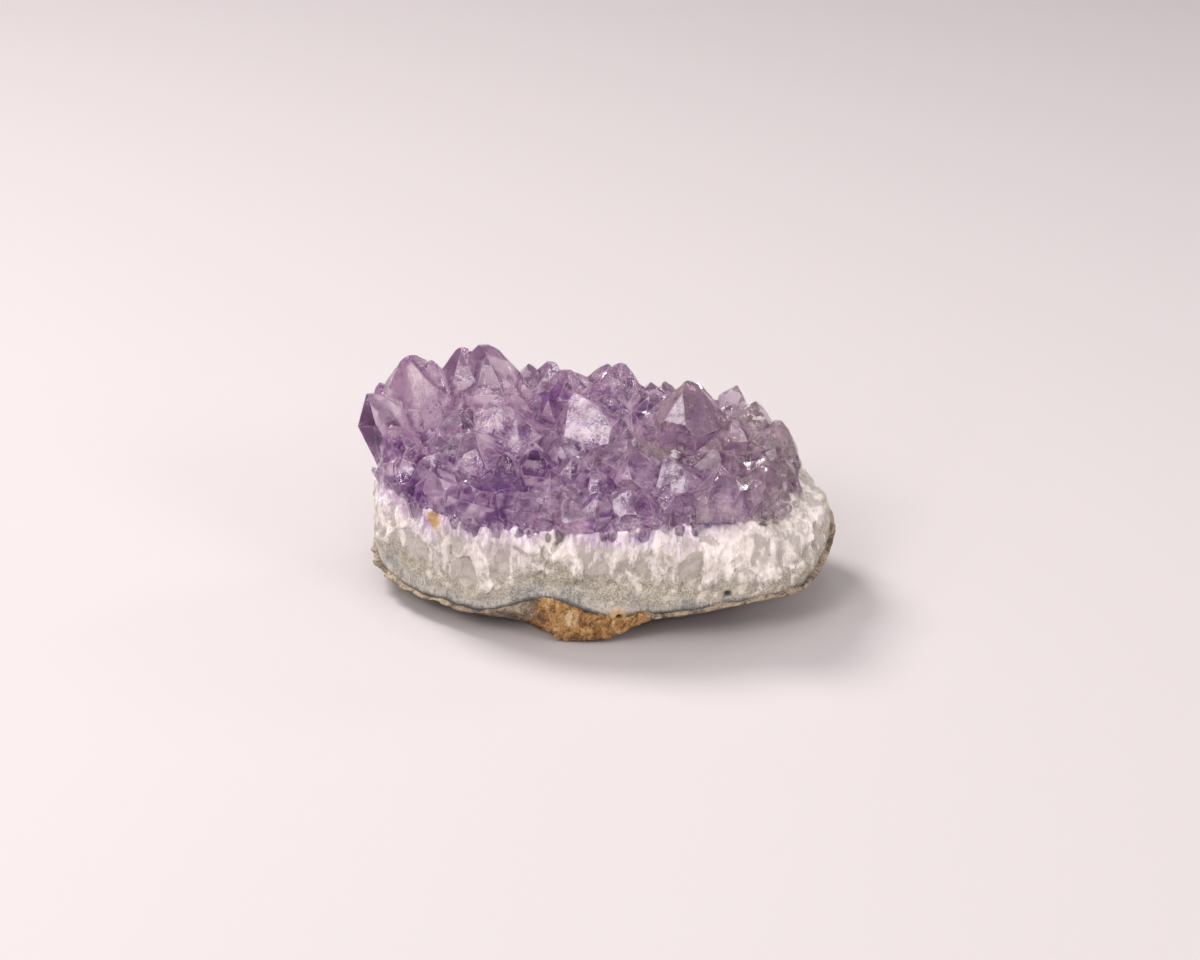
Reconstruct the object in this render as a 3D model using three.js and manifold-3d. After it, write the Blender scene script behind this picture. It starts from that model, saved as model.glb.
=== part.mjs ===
// Amethyst cluster: a chunk broken out of a geode's wall, lying on the wall's outer side.
// From the table up it is a thin crust of weathered host rock with one lump left on it, the quartz
// wall that grew on the crust, and the druse of amethyst points that grew on the wall.
// Millimetres, +X along the chunk, +Y to its back, +Z up, standing at z = 0.

import * as THREE from "three";
import { mergeVertices } from "three/addons/utils/BufferGeometryUtils.js";
import Module from "manifold-3d";

const wasm = await Module();
wasm.setup();

// Layers
const GAP = 0.3; // between one layer and the next
const RIND_THICKNESS = 1.6;
const ROOT_DEPTH = 3; // of the crystals' intergrown roots, below the surface they rise from
const BELLY_HEIGHT = 1.6; // of the crust's middle above the table
const BOWL_POWER = 2.2; // how late the crust curves up towards the broken edge
const DRUSE_HEIGHT = 31; // of the surface the points rise from, at the middle
const DRUSE_SLOPE = 0.06; // rise towards the back
const EDGE_ROLL = 1.5; // drop of the druse's surface at the broken edge
const RIGHT_SHOULDER = { start: 22, fall: 0.009 };
const LEFT_SHOULDER = { start: 30, fall: 0.006 };
const BREAK_POWER = 2.5; // how late the broken face curves in to the druse
const EDGE_ROUGHNESS = 0.022; // share of the radius by which the columns of the break stand in and out
const DRUSE_REACH = 0.98; // share of the outline that the druse covers
const BARE_CORNER = { towards: -0.35, width: 0.75, setBack: 0.14 }; // radians: bare quartz slopes up here

// The broken edge seen from above, counterclockwise from the right end: x, y and the crust's height
const BROKEN_EDGE = [
  [49.4, -1, 13.5],
  [48.2, -8.5, 10.6],
  [45.6, -15.5, 7.9],
  [42, -21.5, 6.4],
  [33.6, -26, 6.6],
  [21.4, -27.4, 4.6],
  [9.5, -27.8, 3.6],
  [-3.9, -27.8, 2.2],
  [-17.3, -25.9, 2.3],
  [-25.6, -22.8, 2.1],
  [-33, -17.5, 2.4],
  [-39.5, -11, 2],
  [-44.3, -3, 2.8],
  [-45.8, 6, 4.5],
  [-42.5, 15.5, 6],
  [-33, 23, 6.5],
  [-20, 27.4, 6],
  [-6, 29, 5.5],
  [9, 29.2, 6],
  [23, 27.4, 7.5],
  [35, 21.5, 10],
  [44.5, 13.5, 12.5],
];

// Lumps of host rock left on the crust: the chunk stands on them
const LUMPS = [
  { at: [-3, -20], radius: 8, drop: 6 },
  { at: [-25, 13], radius: 7, drop: 8 },
  { at: [22, 12], radius: 7, drop: 9 },
];
const NOTCH = { at: [-9, -27], radius: [8.5, 9], rise: 5 }; // the wall is hollowed over the front lump

// Quartz: the faces of a point lean 38 degrees off its axis
const POINT_SLOPE = THREE.MathUtils.degToRad(51.8); // from the axis to a face's normal
const TAPER = 0.82; // a crystal is this much narrower at its root
const MINOR_FACE_STEP = 0.07; // share of the width by which every other face stands further out
const FACE_SPREAD = 0.1; // the same by chance

// The large crystals: tip x, y, z, width, and lean to the right and to the back
const LEFT_GROUP = [
  [-46.3, 7, 40.1, 10, -0.42, 0],
  [-44.8, 18, 37.8, 8, -0.4, 0.2],
  [-41.5, -1, 36, 9, -0.35, -0.2],
  [-38.2, 13, 45.8, 15, -0.2, -0.12],
  [-41, -9, 31.6, 6, -0.4, -0.4],
  [-33.4, 13, 44.6, 10, 0.1, -0.05],
  [-33.6, -9, 34.6, 9, 0.25, -0.5],
  [-34.5, -15, 29.9, 7, -0.1, -0.5],
];
const BACK_RIDGE = [
  [-27.6, 16, 46.5, 11, -0.12, 0.05],
  [-21.8, 17, 46.7, 17, 0.08, 0],
  [-14, 21, 41, 10, -0.05, 0.1],
  [-8.6, 22, 40.7, 12, 0.1, 0.15],
  [-5.5, 14, 42.2, 10, 0.05, -0.1],
  [1.4, 13, 41.3, 10, 0.15, 0],
  [6.1, 20, 41.2, 11, 0.2, 0.15],
  [12.8, 16, 36, 9, 0.1, 0.1],
  [-30, 21.5, 38.5, 11, -0.2, 0.3],
  [-17, 25, 36.5, 11, 0, 0.3],
  [20, 18, 34.5, 12, 0.15, 0.3],
  [31, 15, 31, 9, 0.25, 0.2],
  [-1, 25.5, 35.5, 9, 0, 0.35],
];
const MIDDLE_GROUP = [
  [-18.6, 2, 42.4, 17, -0.1, -0.15],
  [-26.5, 2, 38.5, 10, 0.1, -0.15],
  [-3, 3, 41.7, 15, -0.3, -0.1],
  [7, 2, 38.2, 13, 0.25, -0.2],
  [20.2, 4, 43.8, 14.6, 0.02, -0.05],
  [-9.5, 9, 39.6, 8, 0.2, -0.2],
  [13.4, 6, 36.4, 8, -0.1, 0],
];
const RIGHT_GROUP = [
  [34.4, 9, 37.6, 12, 0.12, 0],
  [29.3, 2, 37.1, 8, 0.1, 0],
  [37.8, -4, 32, 9, 0.35, -0.2],
  [28, -9, 34, 9, 0.15, -0.35],
  [41, 4, 29.3, 8, 0.35, 0.1],
  [41.5, -5, 27.2, 7, 0.4, -0.2],
  [34, -12, 29, 8, 0.25, -0.4],
];
const FRONT_ROW = [
  [-30, -14, 33, 8, 0, -0.35],
  [-23.4, -10, 34.8, 10, 0.05, -0.3],
  [-17.5, -13, 35.5, 7, 0, -0.25],
  [-11.1, -14.5, 37.1, 8, 0.03, -0.25],
  [-3.6, -14, 35.4, 7, 0.05, -0.3],
  [1.5, -10, 36, 7, 0.1, -0.3],
  [5.5, -15, 32.6, 7, 0, -0.45],
  [13.4, -11, 33, 9, 0.1, -0.4],
  [20, -13, 32, 8, 0, -0.45],
  [25, -16, 30, 7, 0.1, -0.5],
];
const POINTS = [...LEFT_GROUP, ...BACK_RIDGE, ...MIDDLE_GROUP, ...RIGHT_GROUP, ...FRONT_ROW];

// The small crystals between them and along the broken edge
const FILL_SPACING = 9.5;
const FILL_REACH = 0.88; // share of the druse inside which they stand
const FILL_WIDTH = [8, 5]; // least, and how much more at most
const FILL_RISE = [3, 4];
const FRINGE_COUNT = 32;
const FRINGE_REACH = 0.94;
const FRINGE_WIDTH = [5.5, 3];
const FRINGE_RISE = [2, 3];

const COLUMNS = 56;
const COARSE_RINGS = [0.35, 0.65, 0.88, 1];
const FINE_RINGS = [0.2, 0.38, 0.54, 0.68, 0.8, 0.91, 1];
const CEILING = 70; // above every crystal

// A number from 0 to 1 that is always the same for the same seed.
function chance(seed) {
  const wave = Math.sin(seed * 12.9898 + 4.1414) * 43758.5453;
  return wave - Math.floor(wave);
}

const edgeCurve = new THREE.CatmullRomCurve3(
  BROKEN_EDGE.map(([x, y, low]) => new THREE.Vector3(x, y, low)),
  true,
  "centripetal",
);
const edgeSamples = edgeCurve.getPoints(720).slice(0, -1).map((p) => ({
  angle: Math.atan2(p.y, p.x),
  radius: Math.hypot(p.x, p.y),
  low: p.z,
}));
edgeSamples.sort((a, b) => a.angle - b.angle);

// The outline's radius and the crust's height in one direction from the middle.
function edgeAt(angle) {
  const turn = Math.PI * 2;
  const wrapped = THREE.MathUtils.euclideanModulo(angle + Math.PI, turn) - Math.PI;
  let next = edgeSamples.findIndex((sample) => sample.angle > wrapped);
  if (next < 0) next = 0;
  const last = (next + edgeSamples.length - 1) % edgeSamples.length;
  const [a, b] = [edgeSamples[last], edgeSamples[next]];
  const span = THREE.MathUtils.euclideanModulo(b.angle - a.angle, turn);
  const share = THREE.MathUtils.euclideanModulo(wrapped - a.angle, turn) / span;
  return {
    radius: THREE.MathUtils.lerp(a.radius, b.radius, share),
    low: THREE.MathUtils.lerp(a.low, b.low, share),
  };
}

// How far out a place is, from 0 at the middle to 1 on the outline.
function reachAt(x, y) {
  return Math.min(1, Math.hypot(x, y) / edgeAt(Math.atan2(y, x)).radius);
}

// The share of the outline's radius that the druse covers in one direction.
function druseReach(angle) {
  const offset = (angle - BARE_CORNER.towards) / BARE_CORNER.width;
  return DRUSE_REACH - BARE_CORNER.setBack * Math.exp(-(offset ** 2));
}

function bowl(x, y) {
  const { low } = edgeAt(Math.atan2(y, x));
  return BELLY_HEIGHT + (low - BELLY_HEIGHT) * reachAt(x, y) ** BOWL_POWER;
}

function crustBottom(x, y) {
  const drops = LUMPS.map(({ at, radius, drop }) => {
    const distance = Math.hypot(x - at[0], y - at[1]) / radius;
    return drop * Math.exp(-1.2 * distance ** 2);
  });
  return Math.max(0, bowl(x, y) - Math.max(...drops));
}

function crustTop(x, y) {
  const across = (x - NOTCH.at[0]) / NOTCH.radius[0];
  const along = (y - NOTCH.at[1]) / NOTCH.radius[1];
  return bowl(x, y) + RIND_THICKNESS + NOTCH.rise * Math.exp(-(across ** 2) - along ** 2);
}

function druse(x, y) {
  const right = RIGHT_SHOULDER.fall * Math.max(0, x - RIGHT_SHOULDER.start) ** 2;
  const left = LEFT_SHOULDER.fall * Math.max(0, -x - LEFT_SHOULDER.start) ** 2;
  return DRUSE_HEIGHT + DRUSE_SLOPE * y - EDGE_ROLL * reachAt(x, y) ** 4 - right - left;
}

const rootFloor = (x, y) => druse(x, y) - ROOT_DEPTH;

const whole = () => 1;

// The place at one column and one share of the way out to an outline.
function planPoint(column, share, outline) {
  const angle = (column / COLUMNS) * Math.PI * 2 - Math.PI;
  const rough = 1 + EDGE_ROUGHNESS * (chance(column * 7 + 1) - 0.5) * share ** 6;
  const radius = edgeAt(angle).radius * outline(angle) * share * rough;
  return [radius * Math.cos(angle), radius * Math.sin(angle)];
}

// One face of a layer: a fan of rings about the middle. Returns the numbers of its outermost ring.
function addDisc(body, { heightAt, outline, shares, facesUp }) {
  const face = (a, b, c) => body.faces.push(facesUp ? [a, b, c] : [a, c, b]);
  const centre = body.points.length;
  body.points.push([0, 0, heightAt(0, 0)]);
  const rings = shares.map((share) => {
    const ring = [];
    for (let column = 0; column < COLUMNS; column++) {
      const [x, y] = planPoint(column, share, outline);
      ring.push(body.points.length);
      body.points.push([x, y, heightAt(x, y)]);
    }
    return ring;
  });
  for (let i = 0; i < COLUMNS; i++) {
    const j = (i + 1) % COLUMNS;
    face(centre, rings[0][i], rings[0][j]);
    for (let k = 1; k < rings.length; k++) {
      face(rings[k - 1][i], rings[k][i], rings[k][j]);
      face(rings[k - 1][i], rings[k][j], rings[k - 1][j]);
    }
  }
  return rings.at(-1);
}

// The outer wall between two rings.
function addBand(body, lower, upper) {
  for (let i = 0; i < COLUMNS; i++) {
    const j = (i + 1) % COLUMNS;
    body.faces.push([lower[i], lower[j], upper[j]], [lower[i], upper[j], upper[i]]);
  }
}

// Rings between two others: upright first, then curving in, each column with its own roughness.
function addBreakRings(body, lower, upper, levels) {
  return levels.map((level) =>
    lower.map((from, column) => {
      const low = body.points[from];
      const high = body.points[upper[column]];
      const inwards = level ** BREAK_POWER;
      const out = 1 + EDGE_ROUGHNESS * (chance(column * 13 + level * 97) - 0.4);
      body.points.push([
        THREE.MathUtils.lerp(low[0], high[0], inwards) * out,
        THREE.MathUtils.lerp(low[1], high[1], inwards) * out,
        THREE.MathUtils.lerp(low[2], high[2], level),
      ]);
      return body.points.length - 1;
    }),
  );
}

// A layer of the chunk between two surfaces, closed by the break.
function layer({ bottom, top, breakLevels }) {
  const body = { points: [], faces: [] };
  const lower = addDisc(body, { ...bottom, facesUp: false });
  const upper = addDisc(body, { ...top, facesUp: true });
  const rings = [lower, ...addBreakRings(body, lower, upper, breakLevels), upper];
  for (let k = 1; k < rings.length; k++) addBand(body, rings[k - 1], rings[k]);
  return geometryOf(body.points.flat(), body.faces.flat());
}

function geometryOf(coordinates, index) {
  const geometry = new THREE.BufferGeometry();
  geometry.setAttribute("position", new THREE.Float32BufferAttribute(coordinates, 3));
  geometry.setIndex(index);
  return geometry;
}

function solidOf(geometry) {
  const bare = geometry.clone();
  bare.deleteAttribute("normal");
  bare.deleteAttribute("uv");
  const merged = mergeVertices(bare, 1e-4);
  return new wasm.Manifold(
    new wasm.Mesh({
      numProp: 3,
      vertProperties: merged.attributes.position.array,
      triVerts: new Uint32Array(merged.index.array),
    }),
  );
}

function geometryFrom(solid) {
  const mesh = solid.getMesh();
  return geometryOf([...mesh.vertProperties], [...mesh.triVerts]);
}

// The room the crystals may take: everything above the floor of their roots, past the outline too.
function crystalRoom() {
  const outside = 1.3;
  const body = { points: [], faces: [] };
  const floor = (x, y) => {
    const angle = Math.atan2(y, x);
    const share = Math.hypot(x, y) / edgeAt(angle).radius / druseReach(angle);
    return rootFloor(x, y) + 8 * Math.max(0, share - 1.02);
  };
  const lower = addDisc(body, {
    heightAt: floor,
    outline: druseReach,
    shares: [...COARSE_RINGS, outside],
    facesUp: false,
  });
  const upper = addDisc(body, {
    heightAt: () => CEILING,
    outline: druseReach,
    shares: [outside],
    facesUp: true,
  });
  addBand(body, lower, upper);
  return solidOf(geometryOf(body.points.flat(), body.faces.flat()));
}

// One quartz crystal: a tapering six-sided prism cut to a point by six faces, three of them larger.
function crystal({ tip, width, lean, seed }) {
  const axis = new THREE.Vector3(lean[0], lean[1], 1).normalize();
  const turn = new THREE.Quaternion().setFromUnitVectors(new THREE.Vector3(0, 0, 1), axis);
  const twist = new THREE.Quaternion().setFromAxisAngle(axis, chance(seed) * Math.PI);
  turn.premultiply(twist);
  const apex = new THREE.Vector3(...tip);
  const length = (tip[2] - rootFloor(tip[0], tip[1])) / axis.z + width;
  const radius = width / Math.sqrt(3);
  const prism = new THREE.CylinderGeometry(radius, radius * TAPER, length, 6, 1);
  prism.rotateX(Math.PI / 2).translate(0, 0, -length / 2);
  prism.applyQuaternion(turn).translate(...tip);
  let solid = solidOf(prism);
  for (let face = 0; face < 6; face++) {
    const around = (face * Math.PI) / 3;
    const normal = new THREE.Vector3(
      Math.sin(POINT_SLOPE) * Math.cos(around),
      Math.sin(POINT_SLOPE) * Math.sin(around),
      Math.cos(POINT_SLOPE),
    ).applyQuaternion(turn);
    const setBack = (face % 2) * MINOR_FACE_STEP + FACE_SPREAD * chance(seed + face * 5.3);
    const distance = normal.dot(apex) + (setBack - FACE_SPREAD / 4) * width;
    solid = solid.trimByPlane(normal.negate().toArray(), -distance);
  }
  return solid;
}

// How a crystal at one place leans: outwards near the edge, and a little at random.
function leanAt(x, y, seed, outwards, random) {
  const reach = reachAt(x, y);
  const distance = Math.hypot(x, y) || 1;
  const spread = outwards * reach ** 3;
  return [
    (x / distance) * spread + random * (chance(seed + 0.3) - 0.5),
    (y / distance) * spread + random * (chance(seed + 0.7) - 0.5),
  ];
}

function largeCrystals() {
  return POINTS.map(([x, y, z, width, right, back], number) =>
    crystal({ tip: [x, y, z], width, lean: [right, back], seed: number * 3.7 + 1 }),
  );
}

function fillCrystals() {
  const crystals = [];
  const rowStep = FILL_SPACING * Math.sqrt(0.75);
  for (let row = -5; row <= 5; row++) {
    for (let place = -8; place <= 8; place++) {
      const seed = 200 + row * 31.7 + place * 1.9;
      const x = (place + (row % 2) / 2 + 0.6 * (chance(seed) - 0.5)) * FILL_SPACING;
      const y = row * rowStep + 0.6 * (chance(seed + 9) - 0.5) * FILL_SPACING;
      if (reachAt(x, y) > FILL_REACH * druseReach(Math.atan2(y, x))) continue;
      const width = FILL_WIDTH[0] + FILL_WIDTH[1] * chance(seed + 4);
      const rise = FILL_RISE[0] + FILL_RISE[1] * chance(seed + 6);
      const lean = leanAt(x, y, seed, 0.4, 0.6);
      const tip = [x + lean[0] * rise, y + lean[1] * rise, druse(x, y) + rise];
      crystals.push(crystal({ tip, width, lean, seed }));
    }
  }
  return crystals;
}

function fringeCrystals() {
  const crystals = [];
  for (let place = 0; place < FRINGE_COUNT; place++) {
    const seed = 700 + place * 2.3;
    const angle = ((place + 0.5 * chance(seed)) / FRINGE_COUNT) * Math.PI * 2 - Math.PI;
    const reach = druseReach(angle) * (FRINGE_REACH - 0.05 * chance(seed + 2));
    const distance = edgeAt(angle).radius * reach;
    const [x, y] = [distance * Math.cos(angle), distance * Math.sin(angle)];
    const width = FRINGE_WIDTH[0] + FRINGE_WIDTH[1] * chance(seed + 4);
    const rise = FRINGE_RISE[0] + FRINGE_RISE[1] * chance(seed + 6);
    const lean = leanAt(x, y, seed, 0.6, 0.5);
    const tip = [x + lean[0] * rise, y + lean[1] * rise, druse(x, y) + rise];
    crystals.push(crystal({ tip, width, lean, seed }));
  }
  return crystals;
}

// Thin weathered crust with its lumps, the outermost skin of the geode.
function hostRockRind() {
  return layer({
    bottom: { heightAt: crustBottom, outline: whole, shares: FINE_RINGS },
    top: { heightAt: crustTop, outline: whole, shares: COARSE_RINGS },
    breakLevels: [],
  });
}

// Chalcedony band and milky columnar quartz, one growth.
function quartzWall() {
  const bottom = (x, y) => crustTop(x, y) + GAP;
  const top = (x, y) => rootFloor(x, y) - GAP;
  return layer({
    bottom: { heightAt: bottom, outline: whole, shares: COARSE_RINGS },
    top: { heightAt: top, outline: druseReach, shares: COARSE_RINGS },
    breakLevels: [0.3, 0.62, 0.86],
  });
}

// Every point of the druse, joined by the roots they share.
function amethystCrystals() {
  const roots = solidOf(
    layer({
      bottom: { heightAt: rootFloor, outline: druseReach, shares: COARSE_RINGS },
      top: { heightAt: druse, outline: druseReach, shares: [0.35, 0.65, 0.88, 0.98] },
      breakLevels: [],
    }),
  );
  const crystals = [...largeCrystals(), ...fillCrystals(), ...fringeCrystals()];
  const points = wasm.Manifold.union(crystals).intersect(crystalRoom());
  return geometryFrom(roots.add(points));
}

function finish(color, roughness) {
  return new THREE.MeshStandardMaterial({ color, roughness, metalness: 0, flatShading: true });
}

function piece(name, geometry, material) {
  const mesh = new THREE.Mesh(geometry, material);
  mesh.name = name;
  return mesh;
}

// Moves the group so that the middle of its box stands over the origin.
function standOverOrigin(group) {
  const middle = new THREE.Box3().setFromObject(group).getCenter(new THREE.Vector3());
  group.position.set(-middle.x, -middle.y, 0);
}

const group = new THREE.Group();
group.add(
  piece("host_rock_rind", hostRockRind(), finish(0x9a8262, 0.95)),
  piece("quartz_wall", quartzWall(), finish(0xb9b6b2, 0.6)),
  piece("amethyst_crystals", amethystCrystals(), finish(0x8d6f9b, 0.1)),
);
standOverOrigin(group);

export default group;
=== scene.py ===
"""Amethyst cluster: the looks of the chunk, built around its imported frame.

The chunk is three grown-together layers. Each gets a fine mesh that takes its shape from the frame's solid:
the host rock's crust, the broken quartz wall, and the druse of amethyst points.
"""

import math
import random

import bmesh
import bpy
import numpy as np
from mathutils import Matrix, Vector, noise
from mathutils.bvhtree import BVHTree


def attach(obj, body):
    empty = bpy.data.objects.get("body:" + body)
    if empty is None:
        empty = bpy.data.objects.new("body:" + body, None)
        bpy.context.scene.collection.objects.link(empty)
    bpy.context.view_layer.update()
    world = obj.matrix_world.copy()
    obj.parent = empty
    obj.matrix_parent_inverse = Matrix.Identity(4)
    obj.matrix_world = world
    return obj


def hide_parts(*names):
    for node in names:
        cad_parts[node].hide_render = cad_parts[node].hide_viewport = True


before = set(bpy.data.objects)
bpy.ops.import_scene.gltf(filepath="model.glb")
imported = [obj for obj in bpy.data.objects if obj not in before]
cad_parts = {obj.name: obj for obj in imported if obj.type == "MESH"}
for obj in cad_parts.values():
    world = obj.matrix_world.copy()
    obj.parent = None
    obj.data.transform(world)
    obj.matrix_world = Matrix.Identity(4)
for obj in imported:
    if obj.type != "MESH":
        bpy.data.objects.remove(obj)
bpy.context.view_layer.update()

MM = 0.001
SCENE = bpy.context.scene

# Camera
VIEW_ELEVATION = math.radians(25)
VIEW_DISTANCE = 0.6
VIEW_LENS = 86.4
AIM = Vector((1.2, -0.6, 23.2)) * MM

# Fine skins: how many columns run round the chunk, and how many rows up its broken face
WALL_COLUMNS = 720
WALL_ROWS = 92
WALL_FOOT = (0.3, 0.6, 0.85, 0.95)
WALL_TOP = [0.985 - 0.9 * (k / 28) ** 1.3 for k in range(29)]
DRUSE_LIFT = 3.3 * MM  # from the top of the frame's wall to the surface the points rise from
DRUSE_APRON = 10  # rows of the broken face that small points hang over
POINT_SLOPE = math.radians(51.8)  # of a quartz point's faces
LIP_ROWS = 7
LIP_THICKNESS = 0.75 * MM
FRONT_LUMP = (-0.5, -24)  # millimetres
SHARP = math.radians(22)
LEAST_EDGE = 0.004 * MM
FACE_GRAIN = 1.15 * MM  # longest edge on a grown face
VEIL_POINTS = 8000
VIOLET_HEARTS = [  # x, y, z and reach in millimetres
    (-45, 4, 33, 4), (-33.6, -14, 30, 5), (-20, -19, 29, 5), (-8.5, 8, 38, 5), (1.5, 12, 41, 6),
    (24, -8, 32, 8), (35, -6, 32, 5), (-1, -22, 27, 5), (-30, 3, 38, 5),
]
MARKS = [  # x, z, reach, rise and colour of small marks on the front of the wall, in millimetres; the pits' near-black is painted shade
    (-32.8, 22.5, 1.7, 0.0, "stain"), (4.8, 6.3, 1.7, 0.7, "stain"), (4.9, 6.4, 0.6, -0.9, "pit"),
    (27, 10.5, 0.7, -0.6, "pit"), (38.5, 27.2, 0.6, -0.6, "pit"),
]
VEIL_DEPTH = 0.45 * MM  # least way from a veil to a face


# ---------------------------------------------------------------- meshes

def new_object(name, mesh):
    made = bpy.data.objects.new(name, mesh)
    SCENE.collection.objects.link(made)
    return made


def mesh_from(name, vertices, faces):
    mesh = bpy.data.meshes.new(name)
    mesh.from_pydata([tuple(v) for v in vertices], [], faces)
    mesh.validate()
    return mesh


def merged_copy(node):
    """The node's mesh with its loose triangles joined."""
    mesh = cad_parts[node].data.copy()
    work = bmesh.new()
    work.from_mesh(mesh)
    bmesh.ops.remove_doubles(work, verts=work.verts, dist=1e-6)
    work.to_mesh(mesh)
    work.free()
    mesh.materials.clear()
    return mesh


def tree_of(node):
    mesh = merged_copy(node)
    tree = BVHTree.FromPolygons([v.co for v in mesh.vertices], [p.vertices for p in mesh.polygons])
    bpy.data.meshes.remove(mesh)
    return tree


WALL_TREE = tree_of("quartz_wall")
CRUST_TREE = tree_of("host_rock_rind")


def hit_height(tree, x, y, upwards):
    """Height at which a vertical ray meets a solid, drawn in towards the middle until it does."""
    start, direction = (-0.02, Vector((0, 0, 1))) if upwards else (0.09, Vector((0, 0, -1)))
    for share in (1, 0.98, 0.96, 0.93, 0.9, 0.86, 0.8, 0.7):
        place = tree.ray_cast(Vector((x * share, y * share, start)), direction)[0]
        if place is not None:
            return place.z
    return 0.0


def hit_radius(tree, angle, height):
    """Distance from the middle to a solid's outside, in one direction at one height."""
    out = Vector((math.cos(angle), math.sin(angle), 0))
    place = tree.ray_cast(out * 0.09 + Vector((0, 0, height)), -out)[0]
    return math.hypot(place.x, place.y) if place is not None else None


def smoothed(grid, passes):
    """Rows of closed rings, smoothed round each ring and from ring to ring."""
    for _ in range(passes):
        grid = (np.roll(grid, 1, 1) + 2 * grid + np.roll(grid, -1, 1)) / 4
        inner = (grid[:-2] + 2 * grid[1:-1] + grid[2:]) / 4
        grid = np.concatenate([grid[:1], inner, grid[-1:]])
    return grid


def skin_mesh(name, grid, bottom, top):
    """A closed mesh from rings that run from a pole below, outwards, up and in to a pole above."""
    rows, columns = grid.shape[:2]
    vertices = [*grid.reshape(-1, 3), bottom, top]
    low, high = rows * columns, rows * columns + 1
    faces = []
    for i in range(columns):
        j = (i + 1) % columns
        faces.append((low, j, i))
        faces.append((high, (rows - 1) * columns + i, (rows - 1) * columns + j))
        for row in range(rows - 1):
            a, b = row * columns, (row + 1) * columns
            faces.append((a + i, a + j, b + j, b + i))
    return mesh_from(name, vertices, faces)


def skin_normals(grid):
    along = np.roll(grid, -1, 1) - np.roll(grid, 1, 1)
    up = np.gradient(grid, axis=0)
    normals = np.cross(along, up)
    return normals / np.maximum(np.linalg.norm(normals, axis=2, keepdims=True), 1e-12)


def layer_grid(tree, columns, rows, bottom_shares, top_shares, brow_share, margin):
    """Rings over a frame solid: its underside, its broken side and its top."""
    grid = np.zeros((len(bottom_shares) + rows + len(top_shares), columns, 3))
    for i in range(columns):
        angle = i / columns * 2 * math.pi
        out = np.array((math.cos(angle), math.sin(angle)))
        middle = [hit_radius(tree, angle, z * MM) for z in range(1, 29)]
        widest = max(r for r in middle if r is not None)
        foot = hit_height(tree, *(out * widest * 0.985), True) + margin
        brow = hit_height(tree, *(out * widest * brow_share), False) - margin
        side = []
        for level in np.linspace(foot, brow, rows):
            radius = hit_radius(tree, angle, level)
            side.append((radius or (side[-1][0] if side else widest * 0.98), level))
        for k, share in enumerate(bottom_shares):
            reach = out * side[0][0] * share
            grid[k, i] = (*reach, hit_height(tree, *reach, True))
        for k, (radius, level) in enumerate(side):
            grid[len(bottom_shares) + k, i] = (*(out * radius), level)
        for k, share in enumerate(top_shares):
            reach = out * side[-1][0] * share
            grid[len(bottom_shares) + rows + k, i] = (*reach, hit_height(tree, *reach, False))
    return grid


WALL_GRID = smoothed(layer_grid(WALL_TREE, WALL_COLUMNS, WALL_ROWS, WALL_FOOT, WALL_TOP, 0.8, 0.3 * MM), 5)


# ---------------------------------------------------------------- relief

def chipped(place, size, stretch, seed):
    """Flat chips that tilt each their own way: relief of about -1 to 1, the chip's number, the way to its edge."""
    spot = Vector((place[0], place[1], place[2] / stretch)) / size + Vector((seed, seed * 0.7, seed * 1.3))
    near, chips = noise.voronoi(spot)
    values = []
    for chip in chips[:2]:
        tilt = noise.cell_vector(chip) - Vector((0.5, 0.5, 0.5))
        values.append(tilt.x + 2.4 * tilt.dot(spot - chip))
    own = min(1.0, 0.5 + 2.2 * (near[1] - near[0]))
    return values[0] * own + values[1] * (1 - own), noise.cell(chips[0]), near[1] - near[0]


def store(mesh, name, values):
    attribute = mesh.attributes.new(name, "FLOAT", "POINT")
    attribute.data.foreach_set("value", np.asarray(values, np.float32))


def step_between(low, high, value):
    share = min(1.0, max(0.0, (value - low) / (high - low)))
    return share * share * (3 - 2 * share)


# ---------------------------------------------------------------- materials

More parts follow.
